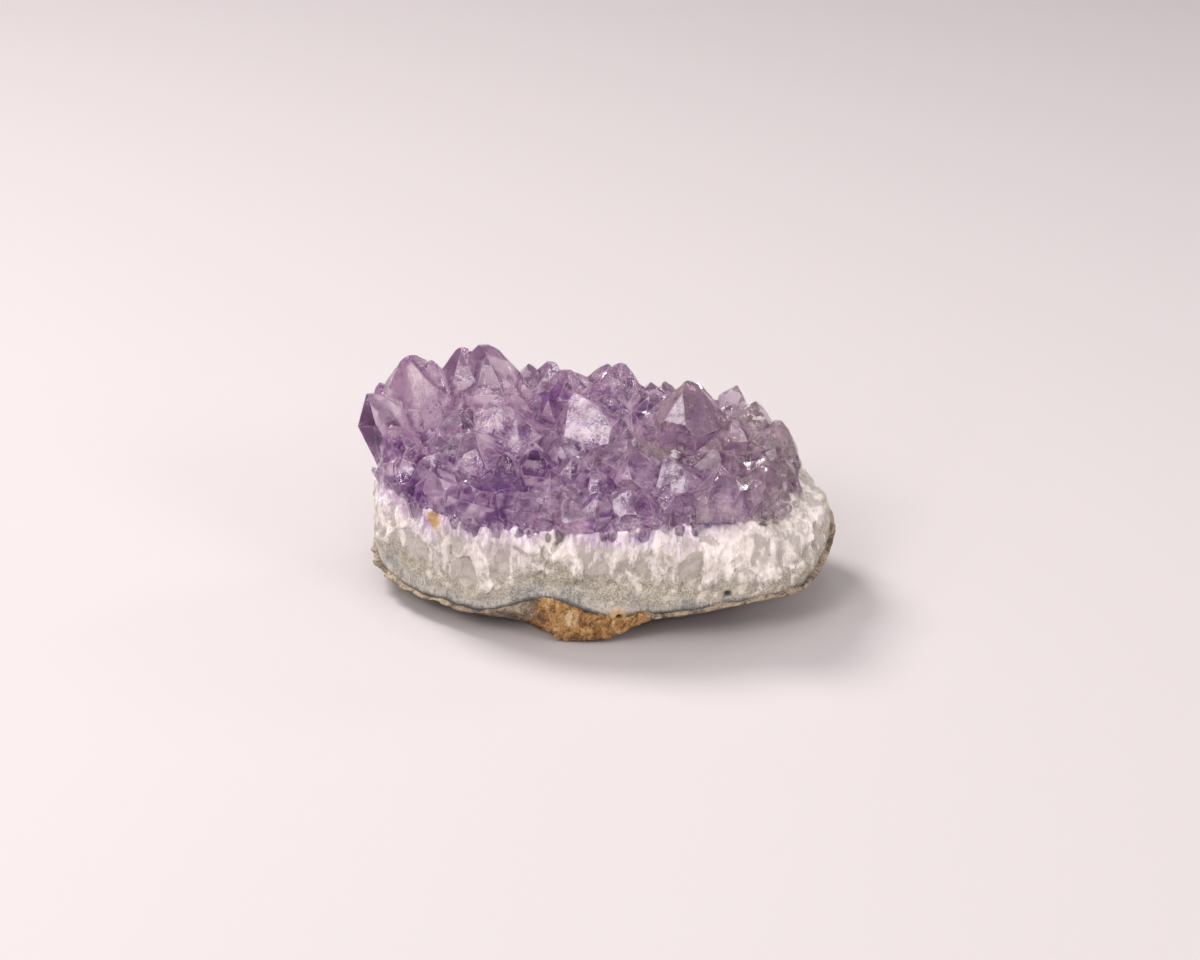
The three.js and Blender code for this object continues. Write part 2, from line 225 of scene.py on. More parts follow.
class Finish:
    """A material being made: each method adds a node and gives back what it puts out."""

    def __init__(self, name):
        self.made = bpy.data.materials.new(name)
        self.made.use_nodes = True
        self.tree = self.made.node_tree
        self.shader = self.tree.nodes["Principled BSDF"]

    def feed(self, socket, value):
        """Give a socket a plain number, a colour or another node's output."""
        if isinstance(value, bpy.types.NodeSocket):
            self.tree.links.new(value, socket)
        elif isinstance(value, tuple) and len(value) == 3 and socket.type == "RGBA":
            socket.default_value = (*value, 1)
        else:
            socket.default_value = value

    def set(self, **values):
        for name, value in values.items():
            self.feed(self.shader.inputs[name.replace("_", " ")], value)

    def node(self, kind, inputs=(), **settings):
        made = self.tree.nodes.new(kind)
        for name, value in settings.items():
            setattr(made, name, value)
        for name, value in dict(inputs).items():
            self.feed(made.inputs[name], value)
        return made

    def place(self, stretch=(1, 1, 1), turn=(0, 0, 0)):
        """Where a point is on the piece, in millimetres."""
        spot = self.node("ShaderNodeTexCoord").outputs["Object"]
        scale = tuple(1000 * share for share in stretch)
        inputs = {"Vector": spot, "Scale": scale, "Rotation": turn}
        return self.node("ShaderNodeMapping", inputs).outputs["Vector"]

    def noise(self, vector, scale, detail=3.0, roughness=0.55, distortion=0.0):
        """Scale is in repeats per millimetre."""
        inputs = {"Vector": vector, "Scale": scale, "Detail": detail, "Roughness": roughness, "Distortion": distortion}
        return self.node("ShaderNodeTexNoise", inputs).outputs["Fac"]

    def cells(self, vector, scale, output="Distance", feature="F1"):
        inputs = {"Vector": vector, "Scale": scale}
        return self.node("ShaderNodeTexVoronoi", inputs, feature=feature).outputs[output]

    def attribute(self, name):
        return self.node("ShaderNodeAttribute", attribute_name=name).outputs["Fac"]

    def math(self, operation, *values):
        return self.node("ShaderNodeMath", dict(enumerate(values)), operation=operation).outputs[0]

    def plus(self, value, other, share=1.0):
        """The value, and a share of the other's distance from a half."""
        return self.math("ADD", value, self.math("MULTIPLY", self.math("SUBTRACT", other, 0.5), share))

    def ramp(self, value, low, high):
        """0 at low, 1 at high and smooth between; low may be above high."""
        inputs = {"Value": value, "From Min": low, "From Max": high}
        return self.node("ShaderNodeMapRange", inputs, interpolation_type="SMOOTHSTEP").outputs["Result"]

    def mix(self, share, first, second):
        return self.node("ShaderNodeMix", {0: share, 6: first, 7: second}, data_type="RGBA").outputs[2]

    def bump(self, height, distance, strength=1.0):
        inputs = {"Height": height, "Distance": distance, "Strength": strength}
        self.feed(self.shader.inputs["Normal"], self.node("ShaderNodeBump", inputs).outputs["Normal"])

    def absorb(self, color, density):
        absorbing = self.node("ShaderNodeVolumeAbsorption", {"Color": color, "Density": density})
        self.tree.links.new(absorbing.outputs[0], self.tree.nodes["Material Output"].inputs["Volume"])


def amethyst_finish():
    """Clear quartz, pale at the tips; violet in patches, and deepest where many small points crowd; with painted shade
    in the valleys between points and painted highlights along their ridges.
    """
    finish = Finish("amethyst")
    place = finish.place()
    broad = finish.noise(place, 0.1, 2)
    patch = finish.noise(place, 0.34, 4, 0.6, 0.7)
    wisps = finish.noise(place, 1.1, 4, 0.7, 1.2)
    across, _, height = finish.node("ShaderNodeSeparateXYZ", {"Vector": place}).outputs
    depth = finish.ramp(finish.plus(height, broad, 12), 40, 25)
    faded = finish.ramp(finish.plus(across, broad, 14), 6, 34)
    crowd = 0.0
    for x, y, z, reach in VIOLET_HEARTS:
        way = finish.node("ShaderNodeVectorMath", {0: place, 1: (x, y, z)}, operation="DISTANCE").outputs["Value"]
        crowd = finish.math("MAXIMUM", crowd, finish.ramp(way, reach * 1.5, reach * 0.3))
    tone = finish.plus(finish.plus(finish.plus(patch, broad, 0.5), depth, 0.26), crowd, 0.66)
    sector = finish.attribute("sector")
    tone = finish.plus(finish.plus(tone, faded, -0.42), sector, 0.36)
    edge = finish.math("POWER", finish.attribute("edge"), 3.0)
    pale = finish.mix(finish.ramp(wisps, 0.42, 0.66), (0.97, 0.90, 0.89), (1.0, 0.99, 0.98))
    color = finish.mix(finish.ramp(tone, 0.36, 0.64), pale, (0.66, 0.38, 0.62))
    color = finish.mix(finish.ramp(finish.plus(tone, wisps, 0.35), 0.55, 0.80), color, (0.19, 0.05, 0.30))
    color = finish.mix(finish.math("MULTIPLY", finish.ramp(sector, 0.30, 0.05), 0.6), color, (0.28, 0.14, 0.34))
    color = finish.mix(finish.math("MULTIPLY", finish.ramp(sector, 0.62, 0.78), 0.6), color, (1.0, 0.97, 0.97))
    # Painted shade: the valleys between the points are darkened to deep violet, where shade falls.
    gap = finish.math("MULTIPLY", finish.attribute("painted_valley_shade"), finish.ramp(finish.plus(wisps, patch, 1.0), 0.38, 0.56))
    color = finish.mix(finish.math("MULTIPLY", gap, 0.9), color, (0.15, 0.045, 0.19))
    # Painted highlight: the ridges of the points are whitened as if catching light; the same mask also makes them
    # rougher.
    color = finish.mix(finish.math("MULTIPLY", edge, 0.8), color, (1, 1, 1))
    finish.set(Base_Color=color, Transmission_Weight=1.0, IOR=1.544)
    worn = finish.math("MULTIPLY", finish.ramp(wisps, 0.5, 0.75), 0.05)
    worn = finish.math("MULTIPLY_ADD", finish.ramp(sector, 0.74, 0.84), 0.2, worn)
    finish.set(Roughness=finish.math("MULTIPLY_ADD", edge, 0.3, worn))
    growth = finish.noise(finish.place((0.35, 0.35, 2.6)), 0.7, 3, 0.6)
    finish.bump(finish.plus(growth, wisps, 0.5), 0.1 * MM, 0.5)
    finish.absorb((0.75, 0.36, 0.59), 15.0)
    return finish.made


def veil_finish():
    """Pale wisps and bubbles that were sealed in as the points grew."""
    finish = Finish("veil")
    tone = finish.noise(finish.place(), 0.6, 2)
    finish.set(Base_Color=finish.mix(tone, (0.95, 0.92, 0.95), (0.80, 0.70, 0.84)), Roughness=0.35, IOR=1.0)
    return finish.made


def quartz_finish():
    """Blue-grey chalcedony at the foot, grainy grey-green, milky columns, and violet under the points; the small pits
    are painted near-black as shade.
    """
    finish = Finish("milky quartz")
    place = finish.place()
    height, grain, chip = finish.attribute("height"), finish.attribute("grain"), finish.attribute("chip")
    seam = finish.ramp(finish.attribute("seam"), 0.30, 0.02)
    broad = finish.noise(place, 0.13, 3)
    streaks = finish.noise(finish.place((1, 1, 0.3)), 0.7, 5, 0.65, 0.8)
    needles = finish.noise(finish.place((1, 1, 0.22), (0.12, 0.2, 0)), 2.2, 3, 0.7, 0.5)
    blots = finish.noise(place, 0.38, 4, 0.6, 0.6)
    grit = finish.noise(place, 2.6, 4, 0.75)
    level = finish.plus(finish.plus(finish.plus(height, broad, 12.0), streaks, 5.0), grit, 2.0)
    milk = finish.plus(finish.plus(finish.plus(streaks, grain, 0.25), blots, 0.9), seam, 0.2)
    across = finish.node("ShaderNodeSeparateXYZ", {"Vector": place}).outputs["X"]
    right = finish.ramp(across, 5, 36)
    level = finish.math("MULTIPLY_ADD", right, 4.0, level)
    middle = finish.ramp(finish.math("ABSOLUTE", finish.math("SUBTRACT", across, 14.0)), 50, 12)
    milk = finish.plus(finish.plus(milk, needles, 0.6), middle, 0.1)
    body = finish.mix(finish.ramp(milk, 0.28, 0.54), (0.50, 0.445, 0.41), (0.79, 0.71, 0.675))
    body = finish.mix(finish.ramp(milk, 0.54, 0.86), body, (0.96, 0.88, 0.84))
    green = finish.mix(finish.ramp(grit, 0.38, 0.60), (0.27, 0.24, 0.18), (0.54, 0.49, 0.41))
    green = finish.mix(finish.ramp(blots, 0.5, 0.66), green, (0.70, 0.63, 0.55))
    blue = finish.plus(finish.plus(grit, broad, 0.8), streaks, 0.8)
    blue = finish.mix(finish.ramp(blue, 0.3, 0.7), (0.22, 0.22, 0.21), (0.60, 0.545, 0.49))
    roots = finish.noise(place, 0.17, 2, 0.5, 0.4)
    violet = finish.mix(finish.ramp(roots, 0.40, 0.58), (0.34, 0.15, 0.42), (0.97, 0.90, 0.94))
    haze = finish.mix(finish.ramp(streaks, 0.38, 0.62), (0.48, 0.29, 0.53), (0.90, 0.81, 0.85))
    color = finish.mix(finish.ramp(level, 2.6, 5.2), blue, green)
    color = finish.mix(finish.ramp(finish.plus(level, blots, 10.0), 6.5, 11.0), color, body)
    level = finish.math("MULTIPLY_ADD", right, -5.5, level)
    color = finish.mix(finish.ramp(finish.plus(finish.plus(level, blots, 8.0), needles, 7.0), 13.0, 19.0), color, haze)
    color = finish.mix(finish.ramp(finish.plus(level, blots, 5.0), 18.5, 21.5), color, violet)
    color = finish.mix(finish.ramp(finish.plus(finish.plus(height, broad, 2.0), grit, 1.0), 2.0, 0.9), color, (0.10, 0.10, 0.095))
    color = finish.mix(finish.attribute("stain"), color, (0.52, 0.33, 0.14))
    # Painted shade: the small pits are painted near-black, where shade falls inside them.
    color = finish.mix(finish.attribute("pit"), color, (0.02, 0.015, 0.012))
    finish.set(Base_Color=color, IOR=1.544)
    finish.set(Roughness=finish.math("MULTIPLY_ADD", chip, 0.45, 0.06))
    finish.set(Subsurface_Weight=0.15, Subsurface_Radius=(1, 0.9, 0.95), Subsurface_Scale=0.8 * MM)
    finish.bump(finish.plus(finish.plus(streaks, needles, 0.5), grit, 0.6), 0.4 * MM, 0.7)
    return finish.made


def rock_finish():
    """Weathered host rock: tan and brown, orange on the lumps, with dark pits and pale grains."""
    finish = Finish("host rock")
    place = finish.place()
    lump = finish.attribute("lump")
    patch = finish.noise(place, 0.28, 6, 0.68, 1.2)
    grit = finish.noise(place, 2.2, 4, 0.75)
    stains = finish.plus(patch, grit, 0.5)
    tan = finish.mix(finish.ramp(stains, 0.36, 0.60), (0.12, 0.085, 0.06), (0.46, 0.36, 0.26))
    orange = finish.mix(finish.ramp(stains, 0.36, 0.56), (0.14, 0.06, 0.018), (0.45, 0.245, 0.09))
    orange = finish.mix(finish.ramp(stains, 0.56, 0.68), orange, (0.62, 0.47, 0.30))
    color = finish.mix(finish.ramp(finish.plus(lump, patch, 1.2), 0.3, 0.6), tan, orange)
    color = finish.mix(finish.ramp(grit, 0.61, 0.72), color, (0.70, 0.62, 0.52))
    color = finish.mix(finish.ramp(grit, 0.40, 0.31), color, (0.05, 0.035, 0.025))
    finish.set(Base_Color=color, Roughness=finish.ramp(grit, 0.0, 0.6))
    finish.bump(finish.plus(patch, grit), 0.35 * MM, 0.9)
    return finish.made


def paper_finish():
    finish = Finish("pale paper")
    back = finish.node("ShaderNodeSeparateXYZ", {"Vector": finish.place()}).outputs["Y"]
    # Painted shade: the paper darkens towards the back, standing in for the light falling off.
    color = finish.mix(finish.ramp(back, -100, 700), (0.475, 0.44, 0.445), (0.34, 0.312, 0.318))
    finish.set(Base_Color=color, Roughness=0.85)
    return finish.made


# ---------------------------------------------------------------- growth trees

class Growth:
    """A geometry tree being made, with named inputs, that is grown once on a carrier mesh."""

    def __init__(self, name, **inputs):
        self.tree = bpy.data.node_groups.new(name, "GeometryNodeTree")
        self.sockets = {}
        self.tree.interface.new_socket(name="Geometry", in_out="INPUT", socket_type="NodeSocketGeometry")
        for label, kind in inputs.items():
            made = self.tree.interface.new_socket(name=label, in_out="INPUT", socket_type="NodeSocket" + kind)
            self.sockets[label] = made.identifier
        self.tree.interface.new_socket(name="Geometry", in_out="OUTPUT", socket_type="NodeSocketGeometry")
        self.given = self.tree.nodes.new("NodeGroupInput").outputs
        self.result = self.tree.nodes.new("NodeGroupOutput").inputs["Geometry"]

    def feed(self, socket, value):
        if isinstance(value, bpy.types.NodeSocket):
            self.tree.links.new(value, socket)
        else:
            socket.default_value = value

    def node(self, kind, inputs=(), **settings):
        made = self.tree.nodes.new(kind)
        for name, value in settings.items():
            setattr(made, name, value)
        for name, value in dict(inputs).items():
            self.feed(made.inputs[name], value)
        return made

    def attribute(self, name):
        return self.node("GeometryNodeInputNamedAttribute", {"Name": name}, data_type="FLOAT").outputs[0]

    def math(self, operation, *values):
        return self.node("ShaderNodeMath", dict(enumerate(values)), operation=operation).outputs[0]

    def vector(self, operation, *values):
        made = self.node("ShaderNodeVectorMath", operation=operation)
        for socket, value in zip(made.inputs, values):
            self.feed(socket, value)
        return made.outputs[0]

    def scaled(self, vector, scale):
        return self.node("ShaderNodeVectorMath", {"Vector": vector, "Scale": scale}, operation="SCALE").outputs[0]

    def random(self, low, high, seed, kind="FLOAT"):
        made = self.node("FunctionNodeRandomValue", data_type=kind)
        output = {"FLOAT_VECTOR": 0, "FLOAT": 1, "INT": 2}[kind]
        first = {"FLOAT_VECTOR": 0, "FLOAT": 2, "INT": 4}[kind]
        self.feed(made.inputs[first], low)
        self.feed(made.inputs[first + 1], high)
        self.feed(made.inputs["Seed"], seed)
        return made.outputs[output]

    def finish(self, geometry, material):
        realized = self.node("GeometryNodeRealizeInstances", {"Geometry": geometry}).outputs[0]
        dressed = self.node("GeometryNodeSetMaterial", {"Geometry": realized, "Material": material}).outputs[0]
        self.feed(self.result, dressed)

    def grow(self, carrier, **values):
        """The tree's result on the carrier as a plain mesh; the carrier itself is used up."""
        modifier = carrier.modifiers.new(self.tree.name, "NODES")
        modifier.node_group = self.tree
        for label, value in values.items():
            modifier[self.sockets[label]] = value
        graph = bpy.context.evaluated_depsgraph_get()
        mesh = bpy.data.meshes.new_from_object(carrier.evaluated_get(graph))
        carrier.modifiers.remove(modifier)
        bpy.data.objects.remove(carrier)
        return mesh


# ---------------------------------------------------------------- pieces

def finish_piece(name, mesh, cad_node, finish):
    mesh.name = name
    mesh.materials.clear()
    mesh.materials.append(finish)
    piece = new_object(name, mesh)
    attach(piece, "root")
    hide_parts(cad_node)
    return piece


def make_crust():
    """The thin crust of host rock: a crumbling lip round the chunk, rough below, with its lumps."""
    shares = [1 - (1 - k / 48) ** 1.4 for k in range(1, 49)]
    grid = layer_grid(CRUST_TREE, WALL_COLUMNS, LIP_ROWS, shares, (0.97, 0.9), 0.985, 0)
    rim = len(shares)
    lip = WALL_GRID[len(WALL_FOOT) + 2]
    reach, edge = np.hypot(lip[:, 0], lip[:, 1]), np.hypot(grid[rim, :, 0], grid[rim, :, 1])
    own = np.hypot(grid[:, :, 0], grid[:, :, 1])
    grid[:, :, :2] *= np.where(own > 0.7 * edge, (reach + 0.55 * MM) / edge, 1)[:, :, None]
    along, back = (grid[:, :, 0] / MM - FRONT_LUMP[0]) / 1.45, grid[:, :, 1] / MM - FRONT_LUMP[1]
    lump = np.clip(2.2 - np.hypot(along, back) / 5.5, 0, 1)
    ragged = np.array([noise.noise(Vector(spot) / MM / 5) for spot in lip])
    top = lip[:, 2] + (0.35 + 0.7 * ragged) * MM
    spare = top - grid[rim, :, 2] - LIP_THICKNESS
    rise = np.maximum(spare * (1 - lump[rim]), 0)
    for row in range(rim):
        grid[row, :, 2] += rise * step_between(0.82, 1.0, shares[row])
    under = grid[rim, :, 2] + rise
    for k in range(LIP_ROWS):
        grid[rim + k, :, 2] = under + (top - under) * k / (LIP_ROWS - 1)
    grid[rim + LIP_ROWS:, :, 2] = top + 0.2 * MM
    grid = smoothed(grid, 2)
    normals = skin_normals(grid)
    for row in range(grid.shape[0]):
        for i in range(WALL_COLUMNS):
            place = grid[row, i] / MM
            chip, _, _ = chipped(place, 2.6, 0.8, 3)
            fine, _, _ = chipped(place, 1.0, 0.8, 5)
            wave = noise.fractal(Vector(place) / 5.0, 0.7, 2.1, 4)
            bulk = 0.5 + 2.5 * lump[row, i]
            grid[row, i] += normals[row, i] * (bulk * (0.16 * chip + 0.1 * fine) + 0.3 * wave) * MM
            grid[row, i, 2] = max(grid[row, i, 2], 0)
    low, high = (0, 0, hit_height(CRUST_TREE, 0, 0, True)), (0, 0, grid[-1, :, 2].mean())
    mesh = skin_mesh("weathered_crust", grid, low, high)
    store(mesh, "lump", [*lump.ravel(), 0, 0])
    return finish_piece("weathered_crust", mesh, "host_rock_rind", rock_finish())


def make_wall():
    """The broken quartz: smooth chalcedony at the foot, and chipped columns above it."""
    grid = WALL_GRID.copy()
    normals = skin_normals(grid)
    first = len(WALL_FOOT)
    foot = grid[first, :, 2].copy()
    values = {name: np.zeros(grid.shape[:2]) for name in ("height", "grain", "chip", "seam", "stain", "pit")}
    for row in range(grid.shape[0]):
        for i in range(WALL_COLUMNS):
            place = grid[row, i] / MM
            height = (grid[row, i, 2] - foot[i]) / MM
            spot = Vector(place)
            bent = spot + noise.noise_vector(spot / 7.0) * 1.8
            column, own, seam = chipped(bent, 4.6, 2.4, 1)
            chip, small, _ = chipped(bent, 2.1, 1.8, 2)
            wave = noise.fractal(spot / 6.0, 0.9, 2.0, 3)
            broken = step_between(2.5, 7.0, height + 2.5 * noise.noise(spot / 4.0))
            relief = 0.3 * wave + broken * (1.0 * column + 0.42 * chip + 0.4 * wave) + (1 - broken) * 0.1 * chip
            if row < first:
                relief = -0.3
            for x, z, reach, rise, kind in MARKS:
                near = math.hypot(place[0] - x, place[2] - z) + 0.5 * noise.noise(spot * 1.1)
                if place[1] < 0 and near < reach * 1.4:
                    share = step_between(reach * 1.4, reach * 0.6, near)
                    relief += rise * share
                    values[kind][row, i] = max(values[kind][row, i], share)
            grid[row, i] += normals[row, i] * relief * MM
            if row >= first + WALL_ROWS:
                tooth, _, _ = chipped(bent + Vector((3, 5, 0)), 4.0, 1.0, 9)
                grid[row, i, 2] += (0.4 + 1.3 * max(0, tooth)) * MM
            values["height"][row, i] = height
            values["seam"][row, i] = seam
            values["grain"][row, i] = own
            values["chip"][row, i] = small
    low, high = hit_height(WALL_TREE, 0, 0, True), hit_height(WALL_TREE, 0, 0, False)
    mesh = skin_mesh("broken_quartz", grid, (0, 0, low), (0, 0, high))
    for name, value in values.items():
        store(mesh, name, [*value.ravel(), 0, 0])
    return finish_piece("broken_quartz", mesh, "quartz_wall", quartz_finish())


def cut(work, point, normal):
    """Cut away what lies outside a plane, and close the cut."""
    made = bmesh.ops.bisect_plane(work, geom=work.verts[:] + work.edges[:] + work.faces[:],
                                  plane_co=point, plane_no=normal, clear_outer=True)
    edges = [item for item in made["geom_cut"] if isinstance(item, bmesh.types.BMEdge)]
    if edges:
        bmesh.ops.edgeloop_fill(work, edges=edges)


def crystal_shape(draw):
    """A six-sided point one unit wide with its tip near the origin and a long root, no two faces of one size."""
    work = bmesh.new()
    bmesh.ops.create_cube(work, size=7)
    cut(work, (0, 0, -2.6), (0, 0, -1))
    for k in range(6):
        angle = k * math.pi / 3
        out = Vector((math.cos(angle), math.sin(angle), 0))
        cut(work, out * 0.5 * draw.uniform(0.72, 1.1), out)
        slope = out * math.sin(POINT_SLOPE) + Vector((0, 0, math.cos(POINT_SLOPE)))
        lift = draw.uniform(-0.12, 0.05) if k % 2 else draw.uniform(0.0, 0.22)
        cut(work, (0, 0, lift), slope)
    bmesh.ops.recalc_face_normals(work, faces=work.faces[:])
    mesh = bpy.data.meshes.new("point")
    work.to_mesh(mesh)
    work.free()
    return mesh


def druse_skin():
    """The ground that small points grow from: the brow of the wall and the floor between the large points."""
    first = len(WALL_FOOT) + WALL_ROWS - DRUSE_APRON
    grid = WALL_GRID[first:, ::3].copy()
    rows = grid.shape[0]
    share = np.clip((np.arange(rows) - DRUSE_APRON + 7) / 14, 0, 1)
    grid[:, :, 2] += (share * DRUSE_LIFT)[:, None]
    radius = np.hypot(grid[:, :, 0], grid[:, :, 1])[:, :, None]
    grid[:, :, :2] *= 1 + np.clip(1.2 - share, 0, 0.8)[:, None, None] * MM / np.maximum(radius, MM)
    vertices = grid.reshape(-1, 3)
    columns = grid.shape[1]
    faces = []
    for row in range(rows - 1):
        for i in range(columns):
            j = (i + 1) % columns
            if row > DRUSE_APRON * (0.5 + 1.0 * noise.noise(Vector(grid[row, i]) / MM / 5.5)):
                faces.append((row * columns + i, row * columns + j, (row + 1) * columns + j, (row + 1) * columns + i))
    mesh = mesh_from("druse_skin", vertices, faces)
    store(mesh, "girth", np.repeat(0.65 + 0.35 * share, columns))
    return new_object("druse_skin", mesh)


def rooted_points():
    """The frame's points, their roots let down into the wall so that no gap shows."""
    mesh = merged_copy("amethyst_crystals")
    for vertex in mesh.vertices:
        below = WALL_TREE.ray_cast(vertex.co, Vector((0, 0, -1)))[0]
        if below is not None and vertex.co.z - below.z < 0.45 * MM:
            vertex.co.z -= 1.2 * MM
    return new_object("rooted_points", mesh)


def make_crystals():
    """The frame's large points with small ones grown between them, joined in one solid."""
    draw = random.Random(11)
    stock = bpy.data.collections.new("small_points")
    for _ in range(9):
        stock.objects.link(bpy.data.objects.new("point", crystal_shape(draw)))
    large = rooted_points()
    growth = Growth("small points", Large="Object", Small="Collection", Spacing="Float", Narrowest="Float",
                    Widest="Float", Rise="Float", Splay="Float", Seed="Int")
    given = growth.given
    scattered = growth.node("GeometryNodeDistributePointsOnFaces", {
        "Mesh": given["Geometry"], "Distance Min": given["Spacing"], "Density Max": 3e6,
        "Seed": given["Seed"]}, distribute_method="POISSON")
    girth = growth.math("MULTIPLY", growth.random(given["Narrowest"], given["Widest"], 1), growth.attribute("girth"))
    splay = growth.scaled(growth.random((-1, -1, -1), (1, 1, 1), 2, "FLOAT_VECTOR"), given["Splay"])
    axis = growth.vector("ADD", growth.vector("ADD", scattered.outputs["Normal"], (0, 0, 0.7)), splay)
    axis = growth.vector("NORMALIZE", axis)
    rise = growth.math("MULTIPLY", girth, growth.math("MULTIPLY", growth.random(0.3, 1.0, 3), given["Rise"]))
    raised = growth.node("GeometryNodeSetPosition", {
        "Geometry": scattered.outputs["Points"], "Offset": growth.scaled(axis, rise)}).outputs[0]
    upright = growth.node("FunctionNodeAlignRotationToVector", {"Vector": axis}, axis="Z").outputs[0]
    spin = growth.node("FunctionNodeAxisAngleToRotation", {
        "Axis": (0, 0, 1), "Angle": growth.random(0.0, 6.28, 4)}).outputs[0]
    turned = growth.node("FunctionNodeRotateRotation", {"Rotation": upright, "Rotate By": spin},
                         rotation_space="LOCAL").outputs[0]
    shapes = growth.node("GeometryNodeCollectionInfo", {
        "Collection": given["Small"], "Separate Children": True, "Reset Children": True}).outputs[0]
    small = growth.node("GeometryNodeInstanceOnPoints", {
        "Points": raised, "Instance": shapes, "Pick Instance": True, "Rotation": turned, "Scale": girth,
        "Instance Index": growth.random(0, 8, 5, "INT")}).outputs[0]
    body = growth.node("GeometryNodeObjectInfo", {"Object": given["Large"]}).outputs["Geometry"]
    joined = growth.node("GeometryNodeMeshBoolean", operation="UNION", solver="MANIFOLD")
    growth.feed(joined.inputs["Mesh 2"], small)
    growth.feed(joined.inputs["Mesh 2"], body)
    amethyst = amethyst_finish()
    growth.finish(joined.outputs[0], amethyst)
    mesh = growth.grow(druse_skin(), Large=large, Small=stock, Spacing=2.3 * MM, Narrowest=1.8 * MM,
                       Widest=4.2 * MM, Rise=0.5, Splay=0.4, Seed=4)
    bpy.data.objects.remove(large)
    make_veils(mesh)
    grown_faces(mesh)
    return finish_piece("amethyst_points", mesh, "amethyst_crystals", amethyst)


def grown_faces(mesh):
    """Give the points' flat faces the low steps and hillocks that quartz grows with."""
    work = bmesh.new()
    work.from_mesh(mesh)
    bmesh.ops.remove_doubles(work, verts=work.verts, dist=LEAST_EDGE)
    bmesh.ops.dissolve_degenerate(work, edges=work.edges, dist=LEAST_EDGE)
    bmesh.ops.holes_fill(work, edges=[edge for edge in work.edges if edge.is_boundary], sides=0)
    sector = work.faces.layers.float.new("sector")
    work.normal_update()
    for face in work.faces:
        normal = face.normal
        far = normal.dot(face.verts[0].co) / MM
        face[sector] = noise.cell(Vector((normal.x * 9 + far * 0.7, normal.y * 9 - far * 0.9, normal.z * 9 + far)))
    for _ in range(5):
        bmesh.ops.triangulate(work, faces=[face for face in work.faces if len(face.verts) > 3])
        long = [edge for edge in work.edges if edge.calc_length() > FACE_GRAIN
                and max(face.normal.z for face in edge.link_faces) > -0.5]
        if not long:
            break
        bmesh.ops.subdivide_edges(work, edges=long, cuts=1)
    bmesh.ops.triangulate(work, faces=[face for face in work.faces if len(face.verts) > 3])
    work.normal_update()
    work.verts.index_update()
    bends = [[edge.calc_face_angle_signed(0) for edge in vertex.link_edges] for vertex in work.verts]
    # Ridges: vertices on convex edges only, for painted highlights along them and rougher faces there.
    ridge_highlight_and_roughness = [float(max(bend, default=0) > SHARP and min(bend, default=0) > -SHARP) for bend in bends]
    # Valleys: vertices on concave edges, spread two rings out, carry the painted shade between the points.
    painted_valley_shade = np.array([float(min(bend, default=0) < -SHARP) for bend in bends])
    ends = np.array([(edge.verts[0].index, edge.verts[1].index) for edge in work.edges])
    for _ in range(2):
        spread = np.zeros(len(painted_valley_shade))
        np.maximum.at(spread, ends[:, 0], painted_valley_shade[ends[:, 1]])
        np.maximum.at(spread, ends[:, 1], painted_valley_shade[ends[:, 0]])
        painted_valley_shade = np.maximum(painted_valley_shade, spread * 0.65)
    moves = []
    for vertex in work.verts:
        place = vertex.co / MM
        step, _, _ = chipped(place, 4.2, 1.6, 21)
        hillock, _, _ = chipped(place, 1.9, 1.2, 22)
        moves.append(vertex.normal * (0.14 * step + 0.035 * hillock) * MM)
    for vertex, move in zip(work.verts, moves):
        vertex.co += move
    work.to_mesh(mesh)
    work.free()
    mesh.validate()
    mesh.shade_flat()
    store(mesh, "edge", ridge_highlight_and_roughness)
    store(mesh, "painted_valley_shade", painted_valley_shade)
    print("NOTE amethyst triangles", len(mesh.polygons))


def veil_points(mesh, draw):
    """Points of the wisps sealed in the crystals: bent patches, each torn by noise, well below the faces."""
    tree = BVHTree.FromPolygons([v.co for v in mesh.vertices], [p.vertices for p in mesh.polygons])
    points = []
    while len(points) < VEIL_POINTS:
        angle, reach = draw.uniform(0, 2 * math.pi), math.sqrt(draw.random())
        x, y = 42 * MM * reach * math.cos(angle), 23 * MM * reach * math.sin(angle)
        top = tree.ray_cast(Vector((x, y, 0.09)), Vector((0, 0, -1)))[0]
        ground = WALL_TREE.ray_cast(Vector((x, y, 0.09)), Vector((0, 0, -1)))[0]
        if top is None or ground is None or top.z - ground.z < 4.2 * MM:
            continue
        middle = ground.lerp(top, draw.uniform(0.25, 0.8))
        radius = draw.uniform(1.5, 5) * MM
        lean = Vector((draw.uniform(-1, 1), draw.uniform(-1, 1), draw.uniform(-0.5, 0.9))).normalized()
        side = lean.orthogonal().normalized()
        other = lean.cross(side)
        shift = Vector((draw.random(), draw.random(), draw.random())) * 40
        for _ in range(int(26 * (radius / MM) ** 1.4)):
            turn, share = draw.uniform(0, 2 * math.pi), math.sqrt(draw.random())
            flat = side * math.cos(turn) + other * math.sin(turn)
            spot = middle + flat * radius * share
            spot += lean * noise.noise(spot / MM / 2.5 + shift) * 1.2 * MM
            if noise.noise(spot / MM / 1.3 + shift) < 0.28 * share - 0.08:
                continue
            near, normal, _, distance = tree.find_nearest(spot)
            if distance > VEIL_DEPTH and (spot - near).dot(normal) < 0:
                points.append((spot, lean))
    return points[:VEIL_POINTS]


